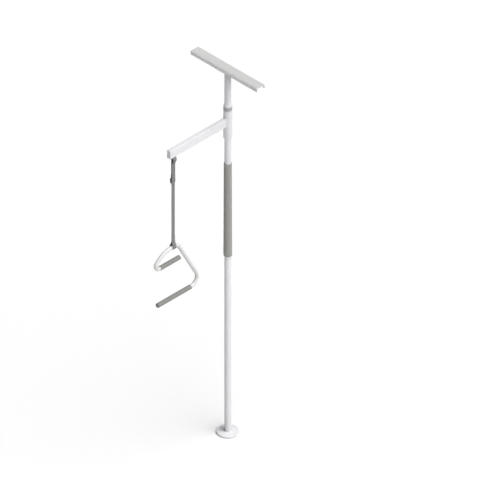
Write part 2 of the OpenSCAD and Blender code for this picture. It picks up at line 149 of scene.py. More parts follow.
def add_floor():
    half = 40
    bm = bmesh.new()
    bmesh.ops.create_grid(bm, x_segments=1, y_segments=1, size=half)
    bmesh.ops.translate(bm, verts=bm.verts, vec=(0, 0, cad_box[0].z - 0.2 * MM))
    mesh = bpy.data.meshes.new("floor")
    bm.to_mesh(mesh)
    bm.free()
    mesh.materials.append(plain_material("floor_white", (0.76, 0.76, 0.76), 0.04))
    link("floor", mesh)


def add_backdrop():
    """White dome behind everything, seen by the camera only."""
    bm = bmesh.new()
    bmesh.ops.create_uvsphere(bm, u_segments=48, v_segments=24, radius=60)
    mesh = bpy.data.meshes.new("backdrop")
    bm.to_mesh(mesh)
    bm.free()
    mesh.materials.append(plain_material("backdrop_white", (0, 0, 0), 1.05))
    dome = link("backdrop", mesh)
    dome.visible_diffuse = False
    dome.visible_glossy = False
    dome.visible_transmission = False
    dome.visible_shadow = False


add_camera()
add_light()
add_floor()
add_backdrop()


# ---------------------------------------------------------------- materials

class Surface:
    """A node material that is built up layer by layer."""

    def __init__(self, name, roughness, **constants):
        self.mat = bpy.data.materials.new(name)
        self.mat.use_nodes = True
        self.tree = self.mat.node_tree
        self.shader = self.tree.nodes["Principled BSDF"]
        self.shader.inputs["Roughness"].default_value = roughness
        for socket, value in constants.items():
            self.shader.inputs[socket.replace("_", " ")].default_value = value
        self.height = None
        self.place = self.tree.nodes.new("ShaderNodeTexCoord").outputs["Object"]

    def add(self, kind, **inputs):
        made = self.tree.nodes.new(kind)
        for key, value in inputs.items():
            socket = made.inputs[key.replace("_", " ")]
            if isinstance(value, bpy.types.NodeSocket):
                self.tree.links.new(value, socket)
            else:
                socket.default_value = value
        return made

    def use_uv(self):
        """Measures the texture along the mesh's UV map, which is in metres."""
        self.place = self.tree.nodes.new("ShaderNodeUVMap").outputs["UV"]

    def stretched(self, scale):
        """Coordinates scaled apart along the three axes."""
        return self.add("ShaderNodeMapping", Vector=self.place, Scale=scale).outputs["Vector"]

    def noise(self, size, detail=2.0, place=None):
        """Noise whose features are about size metres across."""
        made = self.add("ShaderNodeTexNoise", Vector=place or self.place, Scale=1 / size, Detail=detail)
        return made.outputs["Fac"]

    def cells(self, size):
        """Distance to the nearest of scattered points about size metres apart."""
        made = self.add("ShaderNodeTexVoronoi", Vector=self.place, Scale=1 / size)
        return made.outputs["Distance"]

    def waves(self, pitch, direction, distortion=0.0):
        """Smooth ridges, pitch metres apart."""
        scale = 2 * math.pi / (20 * pitch)  # the texture's phase grows by 20 radians a unit
        made = self.add("ShaderNodeTexWave", Vector=self.place, Scale=scale, Distortion=distortion)
        made.bands_direction = direction
        made.inputs["Detail Scale"].default_value = 2
        return made.outputs["Fac"]

    def span(self, value, low, high, from_low=0.3, from_high=0.7):
        made = self.add("ShaderNodeMapRange", Value=value)
        made.inputs["From Min"].default_value = from_low
        made.inputs["From Max"].default_value = from_high
        made.inputs["To Min"].default_value = low
        made.inputs["To Max"].default_value = high
        return made.outputs["Result"]

    def math(self, operation, first, second):
        made = self.tree.nodes.new("ShaderNodeMath")
        made.operation = operation
        for socket, value in zip(made.inputs, (first, second)):
            if isinstance(value, bpy.types.NodeSocket):
                self.tree.links.new(value, socket)
            else:
                socket.default_value = value
        return made.outputs["Value"]

    def colour(self, amount, dark, light):
        """Base colour between dark and light as amount goes from 0 to 1."""
        ramp = self.tree.nodes.new("ShaderNodeValToRGB")
        ramp.color_ramp.elements[0].color = (*dark, 1)
        ramp.color_ramp.elements[1].color = (*light, 1)
        self.tree.links.new(amount, ramp.inputs["Fac"])
        self.tree.links.new(ramp.outputs["Color"], self.shader.inputs["Base Color"])
        return self

    def roughness(self, value):
        self.tree.links.new(value, self.shader.inputs["Roughness"])
        return self

    def bump(self, height, depth, strength=1.0):
        """Another layer of relief, depth metres deep."""
        made = self.add("ShaderNodeBump", Height=height, Distance=depth, Strength=strength)
        if self.height is not None:
            self.tree.links.new(self.height, made.inputs["Normal"])
        self.height = made.outputs["Normal"]
        self.tree.links.new(self.height, self.shader.inputs["Normal"])
        return self


def powder_coat(name, colour, spread=0.015):
    """Satin powder coat: fine orange peel, faint drifts of tone and gloss."""
    surface = Surface(name, 0.42, Specular_IOR_Level=0.5)
    drift = surface.span(surface.noise(0.06, 3), 0, 1)
    surface.colour(
        drift,
        tuple(c * (1 - spread) for c in colour),
        tuple(min(1, c * (1 + spread)) for c in colour),
    )
    surface.roughness(surface.span(surface.noise(0.004, 3), 0.36, 0.5))
    surface.bump(surface.noise(0.0011, 2), 0.03 * MM, 0.5)
    surface.bump(surface.noise(0.0035, 1), 0.06 * MM, 0.4)
    return surface.mat


def zinc_plate():
    """Bright zinc plate with drawn streaks and a slight bloom."""
    surface = Surface("zinc_steel", 0.3, Metallic=1.0)
    streak = surface.noise(0.0006, 4, surface.stretched((1, 1, 0.06)))
    surface.colour(surface.span(surface.noise(0.012, 4), 0, 1), (0.50, 0.51, 0.53), (0.68, 0.69, 0.70))
    surface.roughness(surface.span(streak, 0.24, 0.42))
    surface.bump(streak, 0.01 * MM, 0.5)
    return surface.mat


def closed_cell_foam(name, dark, light):
    """Matt foam rubber: skin with fine pores and soft blotches."""
    surface = Surface(name, 0.85, Specular_IOR_Level=0.25, Sheen_Weight=0.12, Sheen_Roughness=0.6)
    surface.colour(surface.span(surface.noise(0.009, 5), 0, 1), dark, light)
    surface.roughness(surface.span(surface.noise(0.003, 3), 0.78, 0.92))
    surface.bump(surface.cells(0.0009), 0.10 * MM, 0.6)
    surface.bump(surface.noise(0.004, 3), 0.15 * MM, 0.4)
    return surface.mat


def moulded(name, dark, light, roughness):
    """Moulded plastic or rubber with a fine eroded texture."""
    surface = Surface(name, roughness, Specular_IOR_Level=0.45)
    surface.colour(surface.span(surface.noise(0.015, 3), 0, 1), dark, light)
    surface.roughness(surface.span(surface.noise(0.003, 3), roughness - 0.07, roughness + 0.07))
    surface.bump(surface.noise(0.0008, 3), 0.02 * MM, 0.6)
    return surface.mat


def turned_nylon():
    """Turned nylon: fine rings from the lathe tool."""
    surface = Surface("nylon_grey", 0.45, Specular_IOR_Level=0.45)
    rings = surface.waves(0.0006, "Z", 0.6)
    drift = surface.span(surface.noise(0.01, 3), 0, 1)
    surface.colour(drift, (0.345, 0.345, 0.350), (0.375, 0.375, 0.380))
    surface.roughness(surface.span(surface.noise(0.002, 2), 0.4, 0.55))
    surface.bump(rings, 0.02 * MM, 0.6)
    return surface.mat


def woven_webbing():
    """Polyester webbing: picks across, warp cords along, and a soft sheen."""
    surface = Surface("webbing", 0.75, Specular_IOR_Level=0.3, Sheen_Weight=0.25, Sheen_Roughness=0.4)
    surface.use_uv()
    picks = surface.waves(0.0012, "X", 0.25)
    cords = surface.waves(0.0018, "Y", 0.1)
    weave = surface.math("MULTIPLY", picks, cords)
    fuzz = surface.noise(0.0004, 3)
    weave_share = surface.math("MULTIPLY", weave, 0.6)
    fuzz_share = surface.math("MULTIPLY", fuzz, 0.4)
    tone = surface.math("ADD", weave_share, fuzz_share)
    surface.colour(surface.span(tone, 0, 1, 0.15, 0.75), (0.150, 0.150, 0.153), (0.225, 0.225, 0.230))
    surface.bump(weave, 0.35 * MM, 0.8)
    surface.bump(fuzz, 0.08 * MM, 0.5)
    return surface.mat


def stitch_thread():
    surface = Surface("stitch_thread", 0.6, Specular_IOR_Level=0.35, Sheen_Weight=0.2)
    surface.colour(surface.span(surface.noise(0.0006, 2), 0, 1), (0.27, 0.27, 0.28), (0.36, 0.36, 0.37))
    surface.bump(surface.noise(0.0003, 2), 0.05 * MM, 0.6)
    return surface.mat


def bearing_bronze():
    surface = Surface("bronze", 0.35, Metallic=1.0)
    surface.colour(surface.span(surface.noise(0.006, 4), 0, 1), (0.46, 0.32, 0.16), (0.62, 0.45, 0.24))
    surface.roughness(surface.span(surface.noise(0.001, 3), 0.28, 0.45))
    surface.bump(surface.noise(0.0008, 2), 0.01 * MM, 0.5)
    return surface.mat


MATERIALS = {
    "powder_white": powder_coat("powder_white", (0.655, 0.653, 0.668)),
    "zinc_steel": zinc_plate(),
    "grip_foam": closed_cell_foam("grip_foam", (0.262, 0.259, 0.246), (0.304, 0.300, 0.286)),
    "handle_foam": closed_cell_foam("handle_foam", (0.185, 0.183, 0.174), (0.215, 0.213, 0.202)),
    "plug_grey": moulded("plug_grey", (0.180, 0.180, 0.175), (0.205, 0.205, 0.200), 0.5),
    "pad_rubber": moulded("pad_rubber", (0.020, 0.020, 0.021), (0.032, 0.032, 0.033), 0.62),
    "pad_light": moulded("pad_light", (0.49, 0.49, 0.485), (0.53, 0.53, 0.525), 0.7),
    "nylon_grey": turned_nylon(),
    "nylon_white": moulded("nylon_white", (0.60, 0.60, 0.61), (0.64, 0.64, 0.65), 0.42),
    "webbing": woven_webbing(),
    "buckle_black": powder_coat("buckle_black", (0.022, 0.022, 0.024), 0.25),
    "bronze": bearing_bronze(),
}
THREAD = stitch_thread()
TUBE_COAT = powder_coat("tube_coat", (0.585, 0.583, 0.572))


# ---------------------------------------------------------------- mesh tools

def add_piece(name, bm, body, slot, stands_for=(), sharp=35, material=None):
    """Turns a bmesh into a named piece that rides on a body."""
    bmesh.ops.recalc_face_normals(bm, faces=bm.faces)
    mesh = bpy.data.meshes.new(name)
    bm.to_mesh(mesh)
    bm.free()
    mesh.materials.append(material or MATERIALS[slot])
    mesh.shade_smooth()
    mesh.set_sharp_from_angle(angle=math.radians(sharp))
    piece = link(name, mesh)
    if body:
        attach(piece, body)
    if stands_for:
        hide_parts(*stands_for)
    return piece


def rounded(corners, radius, steps=4):
    """Closed outline with its corners rounded. radius is one number, or one for each corner."""
    count = len(corners)
    points = []
    for i in range(count):
        r = radius[i] if isinstance(radius, (list, tuple)) else radius
        here = Vector(corners[i])
        before = Vector(corners[i - 1])
        after = Vector(corners[(i + 1) % count])
        u = (before - here).normalized()
        v = (after - here).normalized()
        half = math.acos(max(-1, min(1, u.dot(v)))) / 2
        if r <= 0 or half > math.radians(89):
            points.append(here)
            continue
        reach = min(r / math.tan(half), 0.48 * (before - here).length, 0.48 * (after - here).length)
        r = reach * math.tan(half)
        centre = here + (u + v).normalized() * (r / math.sin(half))
        first = here + u * reach - centre
        last = here + v * reach - centre
        for k in range(steps + 1):
            t = k / steps
            points.append(centre + (first * (1 - t) + last * t).normalized() * r)
    return points


def bridge(bm, ring, following):
    """Quads from one ring of vertices to the next."""
    count = len(ring)
    for k in range(count):
        n = (k + 1) % count
        bm.faces.new((ring[k], ring[n], following[n], following[k]))


def lathe(profile, segments=96, place=None):
    """Closed outline of (radius, height) points turned about the Z axis."""
    bm = bmesh.new()
    rings = []
    for r, h in profile:
        if r < 1e-7:
            rings.append([bm.verts.new((0, 0, h))])
            continue
        turn = [2 * math.pi * k / segments for k in range(segments)]
        rings.append([bm.verts.new((r * math.cos(a), r * math.sin(a), h)) for a in turn])
    for i, ring in enumerate(rings):
        following = rings[(i + 1) % len(rings)]
        if len(ring) > 1 and len(following) > 1:
            bridge(bm, ring, following)
            continue
        for k in range(segments):
            n = (k + 1) % segments
            if len(ring) > 1:
                bm.faces.new((ring[k], ring[n], following[0]))
            elif len(following) > 1:
                bm.faces.new((ring[0], following[n], following[k]))
    if place is not None:
        bm.transform(place)
    return bm


def along_y(y, z, turn):
    """Places a turned shape's axis along Y: height 0 at y, growing towards -Y, or +Y for turn -90."""
    return Matrix.Translation((0, y, z)) @ Matrix.Rotation(math.radians(turn), 4, "X")


def sweep(points, section, side, closed=False, grow=None, bm=None, uv=False):
    """Section of (u, v) points carried along a path. side(point) gives the direction of u."""
    bm = bm or bmesh.new()
    layer = (bm.loops.layers.uv.active or bm.loops.layers.uv.new("UVMap")) if uv else None
    count = len(points)
    rings = []
    travelled = [0.0]
    for i, point in enumerate(points):
        before = points[i - 1] if closed or i else point
        after = points[(i + 1) % count] if closed or i < count - 1 else point
        ahead = (after - before).normalized()
        u = side(point)
        u = (u - ahead * u.dot(ahead)).normalized()
        v = ahead.cross(u)
        scale = grow(i) if grow else 1.0
        rings.append([bm.verts.new(point + (u * a + v * b) * scale) for a, b in section])
        if i:
            travelled.append(travelled[-1] + (point - points[i - 1]).length)
    for i in range(count if closed else count - 1):
        ring = rings[i]
        following = rings[(i + 1) % count]
        for k in range(len(section)):
            n = (k + 1) % len(section)
            face = bm.faces.new((ring[k], ring[n], following[n], following[k]))
            if uv:
                j = min(i + 1, count - 1)
                spots = ((i, k), (i, n), (j, n), (j, k))
                for loop, (row, column) in zip(face.loops, spots):
                    loop[layer].uv = (travelled[row], section[column][0])
    if not closed:
        bm.faces.new(rings[0])
        bm.faces.new(reversed(rings[-1]))
    return bm


def circle(radius, count=12):
    return [
        (radius * math.cos(2 * math.pi * k / count), radius * math.sin(2 * math.pi * k / count))
        for k in range(count)
    ]


def bent_path(corners, bends, step=0.012):
    """Straight legs and round bends through corners, as points."""
    points = [Vector(corners[0])]
    last = len(corners) - 1

    def straight_to(end):
        start = points[-1]
        pieces = max(1, round((end - start).length / step))
        for k in range(1, pieces + 1):
            points.append(start.lerp(end, k / pieces))

    for i in range(1, last):
        here = Vector(corners[i])
        u = (Vector(corners[i - 1]) - here).normalized()
        v = (Vector(corners[i + 1]) - here).normalized()
        half = u.angle(v) / 2
        reach = bends[i - 1] / math.tan(half)
        centre = here + (u + v).normalized() * (bends[i - 1] / math.sin(half))
        first = here + u * reach - centre
        turn = math.pi - 2 * half
        axis = first.cross(here + v * reach - centre)
        straight_to(here + u * reach)
        pieces = max(4, round(math.degrees(turn) / 5))
        for k in range(1, pieces + 1):
            points.append(centre + Matrix.Rotation(turn * k / pieces, 3, axis) @ first)
    straight_to(Vector(corners[last]))
    return points


def smooth_path(points, step):
    """Catmull-Rom curve through points, sampled about every step metres."""
    points = [Vector(p) for p in points]
    padded = [2 * points[0] - points[1]] + points + [2 * points[-1] - points[-2]]
    out = [points[0]]
    for i in range(1, len(padded) - 2):
        a, b, c, d = padded[i - 1:i + 3]
        pieces = max(1, round((c - b).length / step))
        for k in range(1, pieces + 1):
            t = k / pieces
            out.append(0.5 * (
                2 * b + (c - a) * t + (2 * a - 5 * b + 4 * c - d) * t * t
                + (3 * b - a - 3 * c + d) * t ** 3
            ))
    return out


def cut_with(piece, cutter_bm):
    """Takes the cutter's shapes out of a piece, for good."""
    bmesh.ops.recalc_face_normals(cutter_bm, faces=cutter_bm.faces)
    mesh = bpy.data.meshes.new("cutter")
    cutter_bm.to_mesh(mesh)
    cutter_bm.free()
    cutter = link("cutter", mesh)
    modifier = piece.modifiers.new("cut", "BOOLEAN")
    modifier.operation = "DIFFERENCE"
    modifier.solver = "EXACT"
    modifier.object = cutter
    depsgraph = bpy.context.evaluated_depsgraph_get()
    done = bpy.data.meshes.new_from_object(piece.evaluated_get(depsgraph))
    piece.modifiers.remove(modifier)
    piece.data = done
    piece.data.set_sharp_from_angle(angle=math.radians(35))
    bpy.data.objects.remove(cutter)


def slot_of(node):
    """Material slot that the record gives a CAD node."""
    return next(s["material_slot"] for s in frame["record"]["subparts"] if s["node"] == node)


def middle(node, axis):
    """Middle of a CAD node's box along axis 0, 1 or 2."""
    low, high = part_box(node)
    return (low[axis] + high[axis]) / 2


def refined(node, name, bevel, segments=2):
    """Copy of a CAD solid with clean faces and rounded edges, standing for the node."""
    source = frame["nodes"][node]
    body = source["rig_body"]
    bm = bmesh.new()
    bm.from_mesh(source.data)
    bmesh.ops.remove_doubles(bm, verts=bm.verts, dist=2e-6)
    bmesh.ops.dissolve_limit(
        bm, angle_limit=math.radians(1), verts=bm.verts, edges=bm.edges, use_dissolve_boundaries=False
    )
    edges = [
        e for e in bm.edges
        if len(e.link_faces) == 2 and e.calc_face_angle(0) > math.radians(30)
    ]
    bmesh.ops.bevel(
        bm, geom=edges, offset=bevel, offset_type="OFFSET", segments=segments, profile=0.5,
        affect="EDGES", clamp_overlap=True
    )
    bmesh.ops.triangulate(bm, faces=[f for f in bm.faces if len(f.verts) > 4])
    piece = add_piece(name, bm, body, slot_of(node), (node,), sharp=40)
    modifier = piece.modifiers.new("flat_faces", "WEIGHTED_NORMAL")
    modifier.weight = 100
    modifier.keep_sharp = True
    return piece


for cad_node in frame["nodes"].values():
    for material_slot in cad_node.material_slots:
        material_slot.material = MATERIALS[slot_of(cad_node["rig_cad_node"])]


# ---------------------------------------------------------------- pole

def ring_profile(inner, outer, low, high, edge):
    """Outline of a plain ring with rounded edges."""
    return rounded([(inner, low), (outer, low), (outer, high), (inner, high)], edge)


def add_floor_plate():
    low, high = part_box("base_plate")
    bolt = next(m for m in frame["record"]["mounts"] if m["name"] == "floor_bolts")["dims"]
    hole = bolt["hole_r_mm"] * MM
    circle_r = bolt["pcd_mm"] * MM / 2
    outer = high.x
    top = high.z
    corners = [(0, low.z), (outer, low.z), (outer, top), (0, top)]
    disc = lathe(rounded(corners, [0, 0.6 * MM, 2.6 * MM, 0]), 144)
    plate = add_piece("floor_plate", disc, None, "powder_white")
    cutters = bmesh.new()
    sink = 1.2 * MM
    for k in range(4):
        spot = Matrix.Rotation(math.pi / 2 * k, 4, "Z") @ Matrix.Translation((circle_r, 0, 0))
        profile = [
            (0, low.z - MM), (hole, low.z - MM), (hole, top - sink),
            (hole + sink + MM, top + MM), (0, top + MM)
        ]
        part = lathe(profile, 40, spot)
        mesh = bpy.data.meshes.new("cutter")
        part.to_mesh(mesh)
        part.free()
        cutters.from_mesh(mesh)
    cut_with(plate, cutters)
    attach(plate, "pole")
    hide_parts("base_plate")


def add_floor_pad():
    """Rubber pad with ribs underneath."""
    low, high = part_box("base_pad")
    outer = high.x
    corners = [(0, high.z), (outer, high.z), (outer, low.z)]
    rib = 3 * MM
    groove = 2 * MM
    depth = 1 * MM
    r = outer - rib
    while r > 2 * rib:
        corners += [(r, low.z), (r, low.z + depth), (r - groove, low.z + depth), (r - groove, low.z)]
        r -= rib + groove
    corners.append((0, low.z))
    radii = [0] + [0.3 * MM] * (len(corners) - 2) + [0]
    add_piece("floor_pad", lathe(rounded(corners, radii, 2), 96), "pole", "pad_rubber", ("base_pad",))


def sleeve_profile(inner, low_r, high_r, length, edge, rows):
    """Outline of a foam sleeve from height 0 to length, with rolled ends."""
    arc = [math.pi / 2 * k / 6 for k in range(7)]
    profile = [(inner, 0)]
    profile += [(low_r - edge * (1 - math.sin(a)), edge * (1 - math.cos(a))) for a in arc[:-1]]
    for k in range(rows + 1):
        t = k / rows
        profile.append((low_r + (high_r - low_r) * t, edge + (length - 2 * edge) * t))
    profile += [
        (high_r - edge * (1 - math.cos(a)), length - edge * (1 - math.sin(a))) for a in arc[1:]
    ]
    profile.append((inner, length))
    return profile


def round_bead(name, radius, height, size, body):
    """Weld bead round a tube, with the ripples of the torch."""
    count = 180
    points = [
        Vector((radius * math.cos(a), radius * math.sin(a), height))
        for a in (2 * math.pi * k / count for k in range(count))
    ]
    bm = sweep(
        points, circle(size, 10), lambda p: Vector((p.x, p.y, 0)), closed=True,
        grow=lambda i: 1 + 0.08 * math.sin(i * 2 * math.pi / 5)
    )
    add_piece(name, bm, body, "powder_white")


def add_pole():
    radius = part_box("lower_tube")[1].x
    wall = 2.4 * MM
    for name, node in (("pole_lower", "lower_tube"), ("pole_upper", "upper_tube")):
        low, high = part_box(node)
        profile = ring_profile(radius - wall, radius, low.z, high.z, 0.4 * MM)
        piece = add_piece(name, lathe(profile, 128), "pole", "powder_white")
        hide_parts(node)
    round_bead("plate_weld", radius + 0.4 * MM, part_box("base_plate")[1].z + 0.6 * MM, 2.4 * MM, "pole")


def add_pole_foam():
    """Long foam sleeve, a little fuller at its lower end, with soft rolled ends."""
    low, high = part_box("foam_grip")
    wide = high.x
    narrow = wide - 2 * MM
    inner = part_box("lower_tube")[1].x
    profile = sleeve_profile(inner, wide, narrow, high.z - low.z, edge=2.6 * MM, rows=90)
    bm = lathe(profile, 96, Matrix.Translation((0, 0, low.z)))
    bm.normal_update()
    unevenness = 0.12 * MM
    lump = 20 * MM
    for vert in bm.verts:
        if math.hypot(vert.co.x, vert.co.y) > inner + MM:
            vert.co += vert.normal * unevenness * noise.noise(vert.co / lump)
    piece = add_piece("pole_foam", bm, "pole", "grip_foam", ("foam_grip",), sharp=60)


add_floor_plate()
add_floor_pad()
add_pole()
add_pole_foam()


# ---------------------------------------------------------------- swivel and arm

def add_swivel():
    """Fixed cone above the arm, grey flange of the bush, and the sleeve that turns."""
    pole_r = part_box("lower_tube")[1].x
    low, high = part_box("stop_collar")
    cone_rim = low.z + 2.2 * MM
    cone_lip = pole_r + 1.2 * MM
    profile = rounded(
        [(pole_r, low.z), (high.x, low.z), (high.x, cone_rim), (cone_lip, high.z), (pole_r, high.z)],
        [0, 0.8 * MM, 1.2 * MM, 0.8 * MM, 0]
    )
    add_piece("collar_cone", lathe(profile, 128), "pole", "powder_white", ("stop_collar",))

    low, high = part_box("upper_bushing")
    sleeve_low, sleeve_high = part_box("arm_sleeve")
    clearance = 0.06 * MM
    bore = pole_r + clearance
    sleeve_wall = 2.75 * MM
    barrel = sleeve_high.x - sleeve_wall
    outer = high.x
    profile = rounded(
        [(bore, low.z), (barrel, low.z), (barrel, sleeve_high.z), (outer, sleeve_high.z),
         (outer, high.z), (bore, high.z)],
        [0.3 * MM, 0.3 * MM, 0, 0.5 * MM, 1.2 * MM, 0.5 * MM]
    )
    add_piece("bearing_flange", lathe(profile, 128), "arm", "nylon_grey", ("upper_bushing",))

    profile = ring_profile(barrel, sleeve_high.x, sleeve_low.z, sleeve_high.z, 0.7 * MM)
    add_piece("swivel_sleeve", lathe(profile, 128), "arm", "powder_white", ("arm_sleeve",))


def add_arm():
    refined("arm_beam", "arm_tube", 0.35 * MM)
    refined("arm_end_cap", "arm_cap", 0.9 * MM, 3)
    refined("hanger_bracket", "strap_bracket", 0.4 * MM)
    refined("pin_clips", "snap_rings", 0.15 * MM, 1)
    add_arm_weld()


def add_arm_weld():
    """Weld bead where the arm tube meets the sleeve, all the way round."""
    low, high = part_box("arm_beam")
    sleeve_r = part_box("arm_sleeve")[1].x
    half = high.x
    corner = 3 * MM
    outline = rounded(
        [(-half, low.z), (half, low.z), (half, high.z), (-half, high.z)], corner, 5
    )
    points = []
    for i, here in enumerate(outline):
        after = outline[(i + 1) % len(outline)]
        pieces = max(1, round((after - here).length / (1.2 * MM)))
        for k in range(pieces):
            x, z = here.lerp(after, k / pieces)
            points.append(Vector((x, -math.sqrt(sleeve_r ** 2 - x ** 2) - 0.4 * MM, z)))
    bm = sweep(
        points, circle(2.1 * MM, 10), lambda p: Vector((p.x, p.y, 0)), closed=True,
        grow=lambda i: 1 + 0.09 * math.sin(i * 2 * math.pi / 3.5)
    )
    add_piece("arm_weld", bm, "arm", "powder_white")


add_swivel()
add_arm()


# ---------------------------------------------------------------- ceiling head and jack

def add_head():
    refined("ceiling_channel", "top_channel", 0.5 * MM, 2)
    refined("ceiling_pad", "top_pad", 0.5 * MM, 2)
    low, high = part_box("socket_cup")
    bore = 8.06 * MM
    profile = rounded(
        [(bore, low.z), (high.x, low.z), (high.x, high.z), (bore, high.z)],
        [0.5 * MM, 1.2 * MM, 0, 0]
    )
    add_piece("screw_cup", lathe(profile, 96), "head", "zinc_steel", ("socket_cup",))
    round_bead("cup_weld", high.x + 0.3 * MM, high.z - 0.4 * MM, 1.8 * MM, "head")


def add_jack():
    """Screw with a real thread, a chamfered hexagon and a plain nose."""
    low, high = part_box("jack_screw")
    hex_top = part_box("jack_washer")[0].z - 0.15 * MM
    hex_height = 9 * MM
    hex_bottom = hex_top - hex_height
    flat = 12 * MM
    radius = 8 * MM
    pitch = 4 * MM
    depth = 1.1 * MM
    segments = 60

    def thread(a, z):
        phase = (z / pitch - a / (2 * math.pi)) % 1
        tooth = max(0.0, min(1.0, 2.6 * abs(2 * phase - 1) - 0.8))
        ease = min(1.0, max(0.0, (z - low.z) / (2 * MM)))
        return radius - depth * tooth - (1 - ease) * 0.8 * MM

    def hexagon(a, z):
        wrapped = (a + math.pi / 6) % (math.pi / 3) - math.pi / 6
        corner = flat / math.cos(wrapped)
        rim = min(z - hex_bottom, hex_top - z)
        return min(corner, flat + rim / math.tan(math.radians(30)))

    levels = []
    rows = round((hex_bottom - 6 * MM - low.z) / (pitch / 8))
    for k in range(rows + 1):
        z = low.z + k * pitch / 8
        levels.append((z, thread))
    neck = 6.9 * MM
    levels += [(hex_bottom - 5 * MM, lambda a, z: neck), (hex_bottom, lambda a, z: neck)]
    for k in range(9):
        levels.append((hex_bottom + hex_height * k / 8, hexagon))
    levels += [(hex_top, lambda a, z: radius), (high.z - MM, lambda a, z: radius),
               (high.z, lambda a, z: radius - 0.8 * MM)]
    bm = bmesh.new()
    rings = []
    for z, shape in levels:
        ring = []
        for k in range(segments):
            a = 2 * math.pi * k / segments
            r = shape(a, z)
            ring.append(bm.verts.new((r * math.cos(a), r * math.sin(a), z)))
        rings.append(ring)
    for ring, following in zip(rings, rings[1:]):
        bridge(bm, ring, following)
    bm.faces.new(rings[0])
    bm.faces.new(reversed(rings[-1]))
    add_piece("jack_spindle", bm, "jack", "zinc_steel", ("jack_screw",), sharp=25)


add_head()
add_jack()


# ---------------------------------------------------------------- strap

STRAP_HALF = 12.7 * MM
STRAP_T = 1.9 * MM
STRAP_Y = middle("strap_drop", 1)


def webbing_section():
    """Flat section with rounded selvages, u across the webbing."""
    half = STRAP_HALF
    t = STRAP_T / 2
    corners = [(-half, -t), (half, -t), (half, t), (-half, t)]
    outline = rounded(corners, 0.8 * MM, 3)
    across = 10
    points = []
    for i, here in enumerate(outline):
        after = outline[(i + 1) % len(outline)]
        pieces = across if (after - here).length > half else 1
        for k in range(pieces):
            points.append(tuple(here.lerp(after, k / pieces)))
    return points


def webbing(points, step=2.0 * MM):
    """Webbing along a route of (x, z) points, in millimetres, in the strap's middle plane."""
    route = smooth_path([(x * MM, STRAP_Y, z * MM) for x, z in points], step)
    return sweep(route, webbing_section(), lambda p: Y_AXIS, uv=True)


def stitch(bm, start, end, out):
    """One raised stitch from start to end, bulging along out."""
    radius = 0.35 * MM
    runs_along_y = abs((end - start).normalized().y) >= 0.9
    side = Z_AXIS if runs_along_y else Y_AXIS
    rise = 1.3 * radius
    sunk = 0.35
    route = []
    count = 6
    for k in range(count + 1):
        t = k / count
        route.append(start.lerp(end, t) + out * (math.sin(math.pi * t) - sunk) * rise)
    sweep(route, circle(radius, 8), lambda p: side, bm=bm)


def stitched_box(bm, x, z_low, z_high, out):
    """Box of stitches, with a cross in it, on a face of the strap at x."""
    inset = 2.6 * MM
    y0 = STRAP_Y - STRAP_HALF + inset
    y1 = STRAP_Y + STRAP_HALF - inset
    pitch = 2.6 * MM
    gap = 0.1
    spots = ((y0, z_low), (y1, z_low), (y1, z_high), (y0, z_high))
    corners = [Vector((x, y, z)) for y, z in spots]
    lines = [(corners[i], corners[(i + 1) % 4]) for i in range(4)]
    lines += [(corners[0], corners[2]), (corners[1], corners[3])]
    for start, end in lines:
        length = (end - start).length
        pieces = max(1, round(length / pitch))
        for k in range(pieces):
            a = start.lerp(end, (k + gap) / pieces)
            b = start.lerp(end, (k + 1 - gap) / pieces)
            stitch(bm, a, b, out)


def add_upper_webbing():
    """Both plies: round the buckle's bar, up over the roller and down in front."""
    roller = middle("hanger_roller", 2) / MM
    over = 8.9
    bar_low, bar_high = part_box("buckle_frame")
    bar_z = bar_high.z / MM - 6
    bar_x = -5.4
    turn = 3.1
    bottom = bar_low.z / MM - 1
    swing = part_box("strap_sling")[1].z / MM + 3
    route = [(-4.25, bar_z + 30), (-4.25, bar_z + 16), (-4.9, bar_z + 10), (-8.2, bar_z + 4)]
    route += [
        (bar_x + turn * math.cos(math.radians(a)), bar_z + turn * math.sin(math.radians(a)))
        for a in range(-180, 1, 30)
    ]
    route += [(-2.3, bar_z + 8), (-2.3, bar_z + 60), (-2.3, swing - 40), (-2.3, swing - 21)]
    route += [(-3.0, swing - 11), (-4.9, swing - 3), (-6.2, swing + 4)]
    route += [(-7.4, swing + 12), (-8.7, roller - 10)]
    route += [
        (over * math.cos(math.radians(a)), roller + over * math.sin(math.radians(a)))
        for a in range(180, -1, -20)
    ]
    route += [
        (over, roller - 14), (over, swing + 9), (9.5, swing + 5), (11.6, swing + 1),
        (14.5, swing - 4), (15.2, swing - 10), (13.4, swing - 19), (9.6, swing - 28),
        (5.6, swing - 38), (3.7, swing - 50), (3.6, swing - 70), (3.6, bar_z + 10), (3.6, bottom)
    ]
    piece = add_piece("upper_webbing", webbing(route), None, "webbing", sharp=50)
    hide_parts("strap_sling", "strap_anchor")
    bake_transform(piece)
    bm = bmesh.new()
    stitched_box(bm, -5.25 * MM, (bar_z + 13) * MM, (bar_z + 28) * MM, -X_AXIS)
    add_piece("hem_stitches", bm, "sling", "webbing", material=THREAD)


